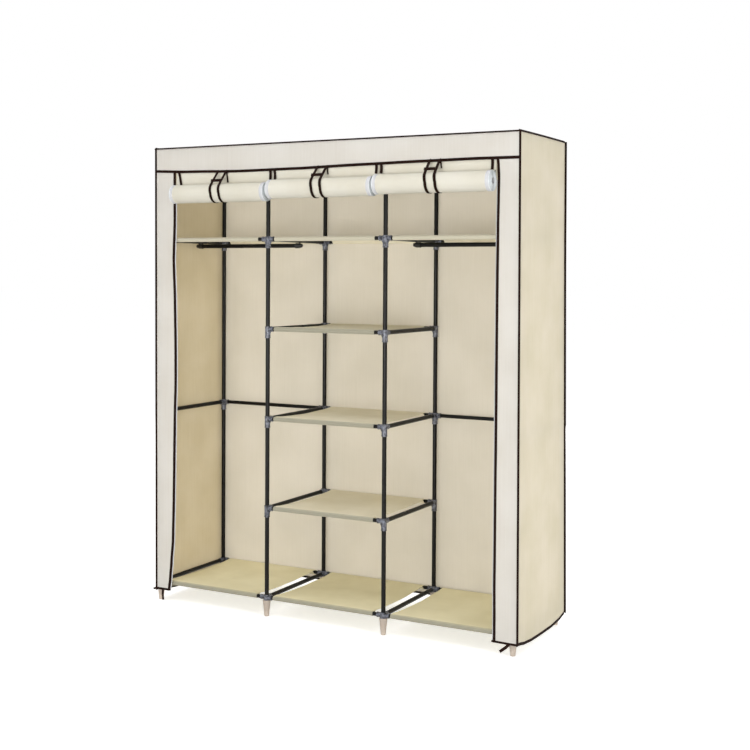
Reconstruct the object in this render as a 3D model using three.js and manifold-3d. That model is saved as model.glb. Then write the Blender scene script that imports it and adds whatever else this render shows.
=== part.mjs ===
// Portable fabric wardrobe: steel tubes in moulded plastic connectors make a frame of three bays,
// cloth shelves slip over the cross tubes, and a sewn cloth cover hangs over the whole frame.
// The front closes with three curtains, shown rolled up and tied under the cover's header.
// Millimetres. X runs along the width, the front faces -Y, Z is up and the feet stand on Z = 0.
import * as THREE from "three";
import { mergeVertices } from "three/addons/utils/BufferGeometryUtils.js";
import Module from "manifold-3d";

const wasm = await Module();
wasm.setup();

// Overall size, outside the cover
const coverWidth = 1498.6;
const coverDepth = 449.6;
const coverHeight = 1752.6;

// Fits
const slipFit = 0.3; // between a piece and what it slides over, hangs from or stands on
const overrun = 5; // how far a cut passes a face

// Tubes
const tubeRadius = 8;
const tubeWall = 0.8;
const tubeSides = 8;
const boreSides = 6; // of the tubes' insides where connectors hide them

// Connectors: an upright sleeve with short arms that the cross tubes plug into
const sleeveRadius = 10.2;
const sleeveRise = 11; // above the arms' axis
const sleeveDrop = 33; // below the arms' axis
const spigotDrop = 23; // below the arms' axis on the lowest connectors, which end in the feet
const capRise = 20.8; // above the arms' axis on the top connectors, which hold the cover up
const armRadius = 9.8;
const armReach = 27; // from the upright's axis to the mouth of an arm
const armFloor = 12; // from the upright's axis to the bottom of an arm's socket

// Frame
const bayCount = 3;
const levelCount = 6;
const lowestLevel = 70; // height of the lowest cross tubes

// Feet
const footTopRadius = 15;
const footSoleRadius = 8.75;
const footSole = 20; // solid plastic under the tube
const footSides = 16;

// Shelves
const shelfCloth = 1.2;
const shelfInset = 37; // from an upright's axis to the shelf's side edge

// Hanging rods and the hooks that carry them on the depth tubes
const hookWidth = 14;
const hookStrip = 2.5;
const hookCupRadius = 9.9;
const hookCupWall = 4; // how far the cup reaches past the depth tube's axis
const hookCupFloor = 6; // from the depth tube's axis to the bottom of the cup
const hookCupReach = 24; // from the depth tube's axis to the cup's mouth
const hookSteps = 12; // round the depth tube
const rodDrop = 18.6; // of the rod's axis below the depth tube's axis
const rodRest = 25; // how far behind the middle of the depth the rods hang

// Cover
const coverCloth = 1.5;
const headerDrop = 92.6; // from the top down to the header's hem
const hemHeight = 43; // of the cover's lower hem above the floor
const hemSag = 20; // how far the side hems droop between the corners
const leftFlapWidth = 90;
const rightFlapWidth = 81;
const hemSagSteps = 12;
const flapSteps = 14;
// The left flap's inner edge wanders: shares of its height, and the flap's width there
const leftFlapShares = [
  [0, 0.69],
  [0.04, 0.78],
  [0.13, 0.91],
  [0.3, 0.96],
  [0.5, 1.03],
  [0.58, 1.03],
  [0.7, 0.98],
  [0.79, 0.94],
  [0.89, 1],
  [1, 1],
];
const rightFlapShares = [
  [0, 1],
  [0.5, 0.98],
  [1, 0.96],
];

// Curtains
const curtainCloth = 0.8;
const curtainSide = 2.5; // from a curtain's side edge to the flap beside it
const seamGap = 2; // between two curtains
const seamPlace = 225; // of the seams between the curtains, from the middle
const curtainHem = 46; // height of a curtain's lower hem when it is let down
const rollRadius = 36;
const rollCore = 12;
const rollSteps = 16; // in each turn
const leftRollHang = 90; // of a roll's axis below the header's hem
const centreRollHang = 82;
const rightRollHang = 77;
const leftRollInset = 24; // of the left roll's outer end from its curtain's side edge

// Ties: two tapes and a short cross tape that hold a roll up
const tapeWidth = 8;
const tapeCloth = 1.2;
const tapeSpacing = 38; // between the two tapes' middles
const tapeSewn = 6; // length sewn to the header above its hem
const tapeSteps = 15;
const crossTapeShares = [0.46, 0.56]; // where the cross tape lies on the straight part of the tapes

// Worked out from the sizes above
const front = -coverDepth / 2;
const uprightY = coverDepth / 2 - coverCloth - slipFit - footTopRadius;
const outerX = coverWidth / 2 - coverCloth - slipFit - footTopRadius;
const bay = (2 * outerX) / bayCount;
const topLevel = coverHeight - coverCloth - slipFit - capRise;
const levelStep = (topLevel - lowestLevel) / (levelCount - 1);
const headerHem = coverHeight - headerDrop;
const boreRadius = tubeRadius - tubeWall;
const socketRadius = tubeRadius + slipFit;
const footRim = lowestLevel - armRadius - slipFit;
const columnX = (column) => -outerX + column * bay;
const levelZ = (level) => lowestLevel + level * levelStep;

const levelNames = ["bottom", "lower", "middle", "upper", "top"];
const bayNames = ["left", "centre", "right"];
const columnNames = ["outer_left", "inner_left", "inner_right", "outer_right"];
const sides = [
  { name: "front", y: -uprightY },
  { name: "rear", y: uprightY },
];
const lastColumn = columnNames.length - 1;
const crownLevel = levelCount - 1;

// Each shelf's level and bay, and the bays that have only a rear brace
const shelfPlaces = [
  [0, 0],
  [0, 1],
  [0, 2],
  [1, 1],
  [2, 1],
  [3, 1],
  [4, 0],
  [4, 1],
  [4, 2],
];
const bracePlaces = [
  [2, 0],
  [2, 2],
];
// Levels at which a column has a depth tube and connectors
const outerRungs = [0, 2, 4];
const innerRungs = [0, 1, 2, 3, 4];

const rails = [
  ...shelfPlaces.flatMap(([level, place]) =>
    sides.map((side) => ({ level, place, side, kind: "tube" })),
  ),
  ...bracePlaces.map(([level, place]) => ({
    level,
    place,
    side: sides[1],
    kind: "brace",
  })),
];

// Finishes
const finish = (color, roughness, metalness) => () =>
  new THREE.MeshStandardMaterial({ color, roughness, metalness });
const blackSteel = finish(0x17160f, 0.35, 0.2);
const footPlastic = finish(0xcdbeb4, 0.45, 0);
const hookPlastic = finish(0x4c4c52, 0.5, 0);
const coverFabric = finish(0xe2dace, 0.95, 0);
const shelfFabric = finish(0xd0c4a6, 0.95, 0);
const curtainFabric = finish(0xe6e0cc, 0.95, 0);
const tapeFabric = finish(0x1c1712, 0.9, 0);

const wardrobe = new THREE.Group();

function place(name, geometry, material, x = 0, y = 0, z = 0) {
  const mesh = new THREE.Mesh(geometry, material());
  mesh.name = name;
  mesh.position.set(x, y, z);
  wardrobe.add(mesh);
}

// A closed geometry as a solid that can be joined and cut, and the way back
function solid(geometry) {
  const bare = geometry.clone();
  bare.deleteAttribute("normal");
  bare.deleteAttribute("uv");
  const merged = mergeVertices(bare);
  return new wasm.Manifold(
    new wasm.Mesh({
      numProp: 3,
      vertProperties: merged.attributes.position.array,
      triVerts: new Uint32Array(merged.index.array),
    }),
  );
}

function geometryOf(made) {
  const mesh = made.getMesh();
  const geometry = new THREE.BufferGeometry();
  const position = new THREE.BufferAttribute(mesh.vertProperties, mesh.numProp);
  geometry.setAttribute("position", position);
  geometry.setIndex(new THREE.BufferAttribute(mesh.triVerts, 1));
  const flat = geometry.toNonIndexed();
  flat.computeVertexNormals();
  return flat;
}

const join = (solids) => solids.reduce((all, next) => all.add(next));

// Outlines: round stretches as points, and the outline of a strip that follows a line
function arc(cx, cy, radius, from, to, steps) {
  return Array.from({ length: steps + 1 }, (_, i) => {
    const angle = from + ((to - from) * i) / steps;
    return new THREE.Vector2(cx + radius * Math.cos(angle), cy + radius * Math.sin(angle));
  });
}

const circle = (cx, cy, radius) =>
  arc(cx, cy, radius, Math.PI / 2, 2.5 * Math.PI, tubeSides).slice(0, tubeSides);

function strip(line, thickness) {
  const normal = line.map((_, i) => {
    const before = line[Math.max(i - 1, 0)];
    const after = line[Math.min(i + 1, line.length - 1)];
    const along = after.clone().sub(before).normalize();
    return new THREE.Vector2(-along.y, along.x);
  });
  const offset = (share) =>
    line.map((point, i) => point.clone().addScaledVector(normal[i], thickness * share));
  return new THREE.Shape([...offset(1 / 2), ...offset(-1 / 2).reverse()]);
}

function extrude(shape, depth) {
  return new THREE.ExtrudeGeometry(shape, { depth, bevelEnabled: false, curveSegments: 1 });
}

// The outline is drawn in Y and Z and pulled along X, or drawn in X and Z and pulled along Y
function alongX(shape, from, to) {
  const axes = new THREE.Matrix4().makeBasis(
    new THREE.Vector3(0, 1, 0),
    new THREE.Vector3(0, 0, 1),
    new THREE.Vector3(1, 0, 0),
  );
  return extrude(shape, to - from).applyMatrix4(axes).translate(from, 0, 0);
}

function alongY(shape, from, to) {
  const axes = new THREE.Matrix4().makeBasis(
    new THREE.Vector3(1, 0, 0),
    new THREE.Vector3(0, 0, 1),
    new THREE.Vector3(0, -1, 0),
  );
  return extrude(shape, to - from).applyMatrix4(axes).translate(0, to, 0);
}

const rectangle = (x0, y0, x1, y1) =>
  new THREE.Shape([
    new THREE.Vector2(x0, y0),
    new THREE.Vector2(x1, y0),
    new THREE.Vector2(x1, y1),
    new THREE.Vector2(x0, y1),
  ]);

// A round bar from one point to another, both [x, y, z]
function bar(radius, from, to, sides = tubeSides) {
  const start = new THREE.Vector3(...from);
  const way = new THREE.Vector3(...to).sub(start);
  const length = way.length();
  const turn = new THREE.Quaternion().setFromUnitVectors(
    new THREE.Vector3(0, 1, 0),
    way.normalize(),
  );
  const geometry = new THREE.CylinderGeometry(radius, radius, length, sides)
    .translate(0, length / 2, 0)
    .applyQuaternion(turn)
    .translate(start.x, start.y, start.z);
  return solid(geometry);
}

// The arms along X of a column's connector, from the rails that end there
function armsAlongX(column, level, side) {
  const found = [];
  for (const { kind, ...rail } of rails) {
    if (rail.level !== level || rail.side !== side) continue;
    if (rail.place === column) found.push({ kind, way: 1 });
    if (rail.place + 1 === column) found.push({ kind, way: -1 });
  }
  return found;
}

// A column's ladder: front and rear uprights with their connectors, and the depth tubes between.
// An outer ladder has its bay's rear brace with it, which plugs into the inner ladder
const railInset = armFloor + slipFit;
function ladder(column) {
  const outer = column === 0 || column === lastColumn;
  const rungs = outer ? outerRungs : innerRungs;
  const foot = footSole + slipFit;
  const top = topLevel - armFloor - slipFit;
  const body = [];
  const bores = [];
  for (const side of sides) {
    body.push(bar(tubeRadius, [0, side.y, foot], [0, side.y, top]));
    bores.push(
      bar(boreRadius, [0, side.y, foot - overrun], [0, side.y, top + overrun], boreSides),
    );
    const inward = -Math.sign(side.y);
    for (const level of rungs) {
      const z = levelZ(level);
      const drop = level === 0 ? spigotDrop : sleeveDrop;
      const mouth = side.y + inward * armReach;
      body.push(bar(sleeveRadius, [0, side.y, z - drop], [0, side.y, z + sleeveRise]));
      body.push(bar(armRadius, [0, side.y, z], [0, mouth, z]));
      for (const { kind, way } of armsAlongX(column, level, side)) {
        body.push(bar(armRadius, [0, side.y, z], [way * armReach, side.y, z]));
        if (kind === "brace" && outer) {
          const end = way * (bay - railInset);
          body.push(bar(tubeRadius, [0, side.y, z], [end, side.y, z]));
          bores.push(bar(boreRadius, [0, side.y, z], [end + way * overrun, side.y, z], boreSides));
          continue;
        }
        const reach = way * (armReach + overrun);
        bores.push(bar(socketRadius, [way * armFloor, side.y, z], [reach, side.y, z]));
      }
    }
  }
  for (const level of rungs) {
    const z = levelZ(level);
    body.push(bar(tubeRadius, [0, -uprightY, z], [0, uprightY, z]));
    bores.push(bar(boreRadius, [0, -uprightY, z], [0, uprightY, z], boreSides));
  }
  return join(body).subtract(join(bores));
}

columnNames.forEach((name, column) => {
  place("ladder_" + name, geometryOf(ladder(column)), blackSteel, columnX(column));
});

// The crown: the top ring of tubes and connectors, which the cover rests on
function crown() {
  const body = [];
  const bores = [];
  const z = topLevel;
  const floor = z - armFloor;
  columnNames.forEach((_, column) => {
    const x = columnX(column);
    for (const side of sides) {
      const mouth = side.y - Math.sign(side.y) * armReach;
      body.push(bar(sleeveRadius, [x, side.y, z - sleeveDrop], [x, side.y, z + capRise]));
      body.push(bar(armRadius, [x, side.y, z], [x, mouth, z]));
      bores.push(bar(socketRadius, [x, side.y, z - sleeveDrop - overrun], [x, side.y, floor]));
      bores.push(bar(boreRadius, [x, side.y, floor - overrun], [x, side.y, z]));
      const ways = [column > 0 ? -1 : 0, column < lastColumn ? 1 : 0];
      for (const way of ways.filter(Boolean))
        body.push(bar(armRadius, [x, side.y, z], [x + way * armReach, side.y, z]));
    }
    body.push(bar(tubeRadius, [x, -uprightY, z], [x, uprightY, z]));
    bores.push(bar(boreRadius, [x, -uprightY, z], [x, uprightY, z]));
  });
  for (const side of sides) {
    body.push(bar(tubeRadius, [-outerX, side.y, z], [outerX, side.y, z]));
    bores.push(bar(boreRadius, [-outerX, side.y, z], [outerX, side.y, z]));
  }
  return join(body).subtract(join(bores));
}

place("crown_frame", geometryOf(crown()), blackSteel);

// Cross tubes: open at both ends, each end plugged into a connector's arm
const tubeSection = new THREE.Shape(circle(0, 0, tubeRadius));
tubeSection.holes.push(new THREE.Path(circle(0, 0, boreRadius)));
for (const { level, place: bayIndex, side, kind } of rails) {
  if (kind === "brace") continue;
  const name = [kind, levelNames[level], bayNames[bayIndex], side.name].join("_");
  const tube = alongX(tubeSection, railInset, bay - railInset);
  place(name, tube, blackSteel, columnX(bayIndex), side.y, levelZ(level));
}

// Feet: tapered cups that the lowest connectors' sleeves and the uprights' ends stand in
function foot() {
  const shoulder = lowestLevel - spigotDrop - slipFit;
  const spigot = sleeveRadius + slipFit;
  const profile = [
    [0, 0],
    [footSoleRadius, 0],
    [footTopRadius, footRim],
    [spigot, footRim],
    [spigot, shoulder],
    [socketRadius, shoulder],
    [socketRadius, footSole],
    [0, footSole],
  ].map(([radius, height]) => new THREE.Vector2(radius, height));
  return new THREE.LatheGeometry(profile, footSides).rotateX(Math.PI / 2);
}

columnNames.forEach((name, column) => {
  for (const side of sides)
    place("foot_" + name + "_" + side.name, foot(), footPlastic, columnX(column), side.y);
});

// Shelves: one cloth whose front and rear edges are sewn into sleeves round the cross tubes
function shelf() {
  const outer = socketRadius + shelfCloth;
  const under = Math.asin((outer - shelfCloth) / outer); // where the sheet's underside meets the sleeve
  const turn = 2 * Math.PI;
  const top = Math.PI / 2;
  const frontSleeve = arc(-uprightY, 0, outer, top, turn + under, tubeSides);
  const rearSleeve = arc(uprightY, 0, outer, Math.PI - under, turn + top, tubeSides);
  const outline = new THREE.Shape([...frontSleeve, ...rearSleeve]);
  for (const side of sides)
    outline.holes.push(new THREE.Path(circle(side.y, 0, socketRadius)));
  return alongX(outline, shelfInset, bay - shelfInset);
}

for (const [level, bayIndex] of shelfPlaces) {
  const name = ["shelf", levelNames[level], bayNames[bayIndex]].join("_");
  place(name, shelf(), shelfFabric, columnX(bayIndex), 0, levelZ(level));
}

// Hanging rods: a tube whose ends sit in the cups of two hooks that lie over the depth tubes
function hook(way) {
  const radius = socketRadius + hookStrip / 2;
  const start = -Math.PI / 3;
  const end = Math.PI + Math.PI / 9;
  const over = arc(0, 0, radius, start, end, hookSteps);
  const line = over.map((point) => new THREE.Vector2(way * point.x, point.y));
  const strap = solid(alongY(strip(line, hookStrip), -hookWidth / 2, hookWidth / 2));
  const back = -way * hookCupWall;
  const cup = bar(hookCupRadius, [back, 0, -rodDrop], [way * hookCupReach, 0, -rodDrop]);
  const mouth = way * (hookCupReach + overrun);
  const socket = bar(socketRadius, [way * hookCupFloor, 0, -rodDrop], [mouth, 0, -rodDrop]);
  return geometryOf(strap.add(cup).subtract(socket));
}

const rodInset = hookCupFloor + slipFit;
const hangingBays = [0, bayCount - 1];
for (const bayIndex of hangingBays) {
  const name = bayNames[bayIndex];
  const z = levelZ(crownLevel - 1);
  const rod = alongX(tubeSection, rodInset, bay - rodInset);
  place("hanging_rod_" + name, rod, blackSteel, columnX(bayIndex), rodRest, z - rodDrop);
  for (const [column, way] of [
    [bayIndex, 1],
    [bayIndex + 1, -1],
  ]) {
    const hookName = "rod_hook_" + columnNames[column];
    place(hookName, hook(way), hookPlastic, columnX(column), rodRest, z);
  }
}

// Cover: five cloth panels that meet edge to edge at their seams. The front one is a header with
// a flap down each side, and the sides' hems droop
const seamX = coverWidth / 2 - coverCloth - slipFit; // of the seams between the sides and the rest
const seamZ = coverHeight - coverCloth - slipFit; // of the seams under the top

// A flap's inner edge, from the hem up to the header
function flapEdge(shares, width, way) {
  const height = headerHem - hemHeight;
  const curve = new THREE.SplineCurve(
    shares.map(
      ([up, wide]) =>
        new THREE.Vector2(way * (coverWidth / 2 - wide * width), hemHeight + up * height),
    ),
  );
  return curve.getPoints(flapSteps);
}

function coverSide(way) {
  const inside = way * (coverWidth / 2 - coverCloth);
  const outside = way * (coverWidth / 2);
  const sagging = Array.from({ length: hemSagSteps + 1 }, (_, i) => {
    const share = i / hemSagSteps;
    const sag = hemSag * Math.sin(Math.PI * share);
    return new THREE.Vector2(front + share * coverDepth, hemHeight - sag);
  });
  const outline = new THREE.Shape([
    ...sagging,
    new THREE.Vector2(-front, coverHeight),
    new THREE.Vector2(front, coverHeight),
  ]);
  return alongX(outline, Math.min(inside, outside), Math.max(inside, outside));
}

const frontPanel = new THREE.Shape([
  new THREE.Vector2(-seamX, seamZ),
  new THREE.Vector2(-seamX, hemHeight),
  ...flapEdge(leftFlapShares, leftFlapWidth, -1),
  ...flapEdge(rightFlapShares, rightFlapWidth, 1).reverse(),
  new THREE.Vector2(seamX, hemHeight),
  new THREE.Vector2(seamX, seamZ),
]);
const backPanel = rectangle(-seamX, hemHeight, seamX, seamZ);
const topPanel = rectangle(front, coverHeight - coverCloth, -front, coverHeight);
place("cover_front", alongY(frontPanel, front, front + coverCloth), coverFabric);
place("cover_back", alongY(backPanel, -front - coverCloth, -front), coverFabric);
place("cover_top", alongX(topPanel, -seamX, seamX), coverFabric);
place("cover_side_left", coverSide(-1), coverFabric);
place("cover_side_right", coverSide(1), coverFabric);

// Curtains: a flat stretch below the header, and the rest wound outwards and up into a roll
const widest = Math.max(...leftFlapShares.map(([, wide]) => wide)) * leftFlapWidth;
const leftEdge = -coverWidth / 2 + widest + curtainSide;
const rightEdge = coverWidth / 2 - rightFlapWidth - curtainSide;
const curtains = [
  { name: "left", from: leftEdge, to: -seamPlace - seamGap / 2, hang: leftRollHang },
  { name: "centre", from: -seamPlace + seamGap / 2, to: seamPlace - seamGap / 2, hang: centreRollHang },
  { name: "right", from: seamPlace + seamGap / 2, to: rightEdge, hang: rightRollHang },
];
const rollAxisY = front + curtainCloth - rollRadius;

// The roll's line in Y and Z about its own axis: from the back, down, forward and inwards
function rollLine(wound) {
  const outside = rollRadius - curtainCloth / 2;
  const pitch = (Math.PI * (outside ** 2 - rollCore ** 2)) / wound;
  const turns = (outside - rollCore) / pitch;
  const steps = Math.round(turns * rollSteps);
  return Array.from({ length: steps + 1 }, (_, i) => {
    const turned = (turns * i) / steps;
    const radius = outside - pitch * turned;
    const angle = -2 * Math.PI * turned;
    return new THREE.Vector2(radius * Math.cos(angle), radius * Math.sin(angle));
  });
}

// The least gap between one turn and the next, measured between points over half a turn apart
function leastGap(line, thickness) {
  let least = Infinity;
  for (let i = 0; i < line.length; i++)
    for (let j = i + rollSteps / 2; j < line.length; j++)
      least = Math.min(least, line[i].distanceTo(line[j]));
  return least - thickness;
}

// A tie's line in Y and Z about the roll's axis: off the header, round the roll, up behind
function tieLine(hang) {
  const around = rollRadius + slipFit + tapeCloth / 2;
  const sewnY = rollRadius - curtainCloth - slipFit - tapeCloth / 2;
  const away = Math.hypot(sewnY, hang);
  const touch = Math.atan2(hang, sewnY) + Math.acos(around / away);
  return {
    sewn: [new THREE.Vector2(sewnY, hang + tapeSewn), new THREE.Vector2(sewnY, hang)],
    round: arc(0, 0, around, touch, 2 * Math.PI, tapeSteps),
    end: new THREE.Vector2(around, hang - slipFit),
  };
}

function tie(hang) {
  const { sewn, round, end } = tieLine(hang);
  const loop = strip([...sewn, ...round, end], tapeCloth);
  const half = tapeWidth / 2;
  const apart = tapeSpacing / 2;
  const tapes = [-apart, apart].map((x) => solid(alongX(loop, x - half, x + half)));
  const cross = crossTapeShares.map((share) => sewn[1].clone().lerp(round[0], share));
  const crossTape = solid(alongX(strip(cross, tapeCloth), -apart, apart));
  return geometryOf(join([...tapes, crossTape]));
}

for (const { name, from, to, hang } of curtains) {
  const axisZ = headerHem - hang;
  const sheet = rectangle(front, axisZ + slipFit, front + curtainCloth, headerHem - slipFit);
  place("curtain_sheet_" + name, alongX(sheet, from, to), curtainFabric);
  const line = rollLine(headerHem - curtainHem - hang);
  const rollFrom = name === "left" ? from + leftRollInset : from;
  const roll = alongX(strip(line, curtainCloth), rollFrom, to);
  place("curtain_roll_" + name, roll, curtainFabric, 0, rollAxisY, axisZ);
  const gap = leastGap(line, curtainCloth);
  console.log("Least gap between turns of the " + name + " curtain's roll: " + gap.toFixed(2));
  const middle = (from + to) / 2;
  place("curtain_tie_" + name, tie(hang), tapeFabric, middle, rollAxisY, axisZ);
}

// The origin is under the middle of the whole wardrobe, rolls and ties included
const standOut = 2 * rollRadius - curtainCloth + slipFit + tapeCloth;
wardrobe.position.y = standOut / 2;

export default wardrobe;
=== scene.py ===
import math

import bmesh
import bpy
from mathutils import Matrix, Vector, noise


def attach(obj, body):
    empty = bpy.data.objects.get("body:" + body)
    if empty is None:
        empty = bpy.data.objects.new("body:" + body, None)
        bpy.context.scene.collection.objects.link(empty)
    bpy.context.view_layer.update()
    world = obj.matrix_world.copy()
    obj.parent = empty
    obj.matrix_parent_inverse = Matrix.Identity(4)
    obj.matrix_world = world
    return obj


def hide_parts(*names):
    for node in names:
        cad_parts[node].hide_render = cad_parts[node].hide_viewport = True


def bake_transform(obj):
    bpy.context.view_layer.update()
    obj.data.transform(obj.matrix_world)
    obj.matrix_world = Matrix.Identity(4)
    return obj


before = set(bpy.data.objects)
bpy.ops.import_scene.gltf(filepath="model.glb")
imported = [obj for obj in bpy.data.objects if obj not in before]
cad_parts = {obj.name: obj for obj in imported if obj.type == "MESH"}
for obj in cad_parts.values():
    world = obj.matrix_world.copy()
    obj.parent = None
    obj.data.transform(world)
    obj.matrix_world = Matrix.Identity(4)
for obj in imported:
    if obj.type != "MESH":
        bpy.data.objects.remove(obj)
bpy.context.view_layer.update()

# The studio: a white floor under a white surround, softboxes low in front, at the right, above and
# behind, from where one shines through the cloth, and the camera at the photograph's place, chest
# high at the front right.
MM = 0.001


def linear(hex_colour):
    """An sRGB hex value as the linear colour that a shader takes."""
    channels = [int(hex_colour[i : i + 2], 16) / 255 for i in (0, 2, 4)]
    return (*[c / 12.92 if c <= 0.04045 else ((c + 0.055) / 1.055) ** 2.4 for c in channels], 1.0)


def add_node(tree, kind, inputs=None, **settings):
    """A node with its settings. Each input is a value, or another node's output to link."""
    node = tree.nodes.new(kind)
    for name, value in settings.items():
        setattr(node, name, value)
    for name, value in (inputs or {}).items():
        if isinstance(value, bpy.types.NodeSocket):
            tree.links.new(value, node.inputs[name])
        else:
            node.inputs[name].default_value = value
    return node


def new_material(name):
    """A material with nothing in it yet but its output, and its node tree."""
    material = bpy.data.materials.new(name)
    material.use_nodes = True
    material.node_tree.nodes.clear()
    return material, material.node_tree


def give_shader(tree, shader):
    add_node(tree, "ShaderNodeOutputMaterial", {"Surface": shader.outputs[0]})


def seen_by(tree, *kinds):
    """1 for rays of the kinds named and 0 for all others."""
    rays = add_node(tree, "ShaderNodeLightPath").outputs
    seen = rays[kinds[0]]
    for kind in kinds[1:]:
        either = {0: seen, 1: rays[kind]}
        seen = add_node(tree, "ShaderNodeMath", either, operation="MAXIMUM").outputs[0]
    return seen


scene = bpy.context.scene
scene.view_settings.view_transform = "Standard"

surround = bpy.data.worlds.new("white_surround")
surround.use_nodes = True
tree = surround.node_tree
tree.nodes.clear()
seen = seen_by(tree, "Is Camera Ray", "Is Glossy Ray", "Is Transmission Ray")
# The surround shows as pure white, and lights the object at half of that
light_level = 0.5
levels = {"Value": seen, "To Min": light_level, "To Max": 1.0}
strength = add_node(tree, "ShaderNodeMapRange", levels).outputs[0]
sky = add_node(tree, "ShaderNodeBackground", {"Color": (1, 1, 1, 1), "Strength": strength})
add_node(tree, "ShaderNodeOutputWorld", {"Surface": sky.outputs[0]})
scene.world = surround

# The paper shows white where nothing shades it, however far it is from the lamps
floor_size = 120  # metres
bpy.ops.mesh.primitive_plane_add(size=floor_size)
floor = bpy.context.object
floor.name = "studio_floor"
paper, tree = new_material("white_background_paper")
paper_white = 0.92
seen = seen_by(tree, "Is Camera Ray", "Is Glossy Ray")
matt = add_node(tree, "ShaderNodeBsdfDiffuse", {"Color": (paper_white, paper_white, paper_white, 1)})
added = {"Color": (1, 1, 1, 1), "Strength": 1.0 - paper_white * light_level}
glow = add_node(tree, "ShaderNodeEmission", added)
lit = add_node(tree, "ShaderNodeAddShader", {0: matt.outputs[0], 1: glow.outputs[0]})
mixed = add_node(tree, "ShaderNodeMixShader", {0: seen, 1: matt.outputs[0], 2: lit.outputs[0]})
give_shader(tree, mixed)
floor.data.materials.append(paper)

# Each lamp: place and aim in metres, width and height in metres, watts
lamps = {
    "low_front_softbox": ((0.9, -5.6, 0.75), (0, 0, 0.85), 4.0, 1.1, 158),
    "right_softbox": ((6.6, -2.2, 1.9), (0, 0, 0.9), 3.2, 3.2, 150),
    "top_softbox": ((0.2, -1.6, 4.4), (0, 0, 0.3), 3.4, 3.0, 48),
    "backlight": ((-1.5, 5.6, 1.6), (0, 0, 0.9), 3.6, 3.0, 258),
}
for name, (at, aim, width, height, watts) in lamps.items():
    softbox = bpy.data.lights.new(name, "AREA")
    softbox.shape = "RECTANGLE"
    softbox.size = width
    softbox.size_y = height
    softbox.energy = watts
    lamp = bpy.data.objects.new(name, softbox)
    lamp.location = at
    lamp.rotation_euler = (Vector(aim) - Vector(at)).to_track_quat("-Z", "Y").to_euler()
    lamp.visible_camera = False
    scene.collection.objects.link(lamp)

lens = bpy.data.cameras.new("camera")
lens.lens = 58.68
lens.shift_x = 0.0025
lens.shift_y = -0.1023
camera = bpy.data.objects.new("camera", lens)
camera_place = (2.2245, -3.97275, 1.2725)
camera_yaw, camera_pitch, camera_roll = 28.086, -1.147, 0.333
camera.matrix_world = (
    Matrix.Translation(camera_place)
    @ Matrix.Rotation(math.radians(camera_yaw), 4, "Z")
    @ Matrix.Rotation(math.radians(90 + camera_pitch), 4, "X")
    @ Matrix.Rotation(math.radians(camera_roll), 4, "Z")
)
scene.collection.objects.link(camera)
scene.camera = camera

# The steel tubes: uprights with the depth tubes between them, of thin-walled 16 mm steel tube, and
# the tubes across the bays, of 14 mm tube. They are powder coated black, cut to length and plugged
# into the connectors, which hide the joints.
COLUMNS = {"outer_left": -732.5, "inner_left": -244.17, "inner_right": 244.17, "outer_right": 732.5}
ROWS = {"front": -171.65, "rear": 244.35}
LEVELS = {"bottom": 70, "lower": 402, "middle": 734, "upper": 1066, "top": 1398, "crown": 1730}
OUTER_LEVELS = ["bottom", "middle", "top", "crown"]
tube_radius = 8.0
tube_bore = 7.2
cross_radius = 7.0
cross_bore = 6.2
bay_pitch = 488.33
tube_inset = 12.3  # from an upright's axis to the end of a tube in an arm
upright_foot = 20.3  # height of the uprights' lower ends, in the feet
joint_drop = 11  # of the joints between stacked lengths, below the arms' axis
crown_drop = 12  # of the uprights' upper ends, in the closed connectors
joint_gap = 0.6
columns_in_order = list(COLUMNS.values())
every_bay = [0, 1, 2]
frame_body = "frame_and_cover"


def revolve(form, profile, start, way, sides=28, ring=False):
    """Adds a turned shape: profile is (radius, distance along way) in mm, and start is in mm. A ring's
    profile closes on itself."""
    way = Vector(way).normalized()
    across = way.orthogonal().normalized()
    if abs(way.z) < 0.5:
        across = Vector((0, 0, 1))
    beside = way.cross(across)
    rings = []
    for radius, along in profile:
        middle = Vector(start) + way * along
        turns = [2 * math.pi * (i + 0.5) / sides for i in range(sides)]
        points = [middle + (across * math.cos(t) + beside * math.sin(t)) * radius for t in turns]
        if radius == 0:
            points = [middle]
        rings.append([form.verts.new(point * MM) for point in points])
    pairs = list(zip(rings, rings[1:] + rings[:1]))
    for one, other in pairs if ring else pairs[:-1]:
        for i in range(sides):
            j = (i + 1) % sides
            corners = [one[i % len(one)], one[j % len(one)], other[j % len(other)], other[i % len(other)]]
            corners = list(dict.fromkeys(corners))
            if len(corners) > 2:
                form.faces.new(corners)


def tube(form, start, end, radius=tube_radius, bore=tube_bore):
    """Adds a hollow tube from start to end, in mm, with its cut ends broken by 0.3 mm."""
    way = Vector(end) - Vector(start)
    length = way.length
    lip = 0.3
    profile = [(bore, 0), (radius - lip, 0), (radius, lip)]
    profile += [(radius, length - lip), (radius - lip, length), (bore, length)]
    revolve(form, profile, start, way, ring=True)


def depth_tube(form, x, z):
    """Adds the tube from the front to the rear at a column."""
    tube(form, (x, ROWS["front"] + tube_inset, z), (x, ROWS["rear"] - tube_inset, z))


def cross_tube(form, bay, y, z):
    """Adds the tube across a bay, counted from the left."""
    left, right = columns_in_order[bay : bay + 2]
    tube(form, (left + tube_inset, y, z), (right - tube_inset, y, z), cross_radius, cross_bore)


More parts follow.
